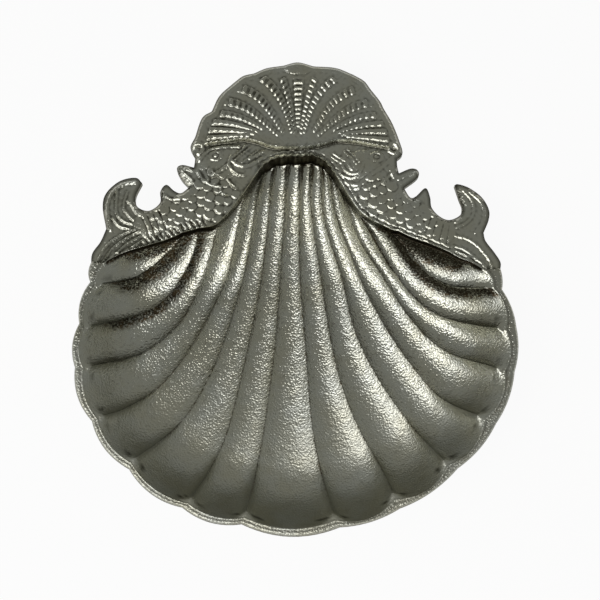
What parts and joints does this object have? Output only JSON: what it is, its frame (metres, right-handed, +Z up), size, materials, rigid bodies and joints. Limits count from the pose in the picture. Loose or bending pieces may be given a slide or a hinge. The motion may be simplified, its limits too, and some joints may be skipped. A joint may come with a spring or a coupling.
{
  "type": "shell dish",
  "caption": "Cast metal dish shaped as a fluted scallop shell, carried by a pair of dolphins and a small fan shell.",
  "frame": {"origin": "middle of the plan box, on the table under the dish", "axes": "+Z up, +Y towards the small fan shell, +X to the right seen from the lobed end"},
  "size_m": [0.1374, 0.151, 0.021],
  "materials": {
    "silvered_metal": "cast and plated, grainy in the flutes and dulled in the hollows"
  },
  "bodies": {
    "root": {"shell_dish": "silvered_metal"}
  },
  "joints": []
}
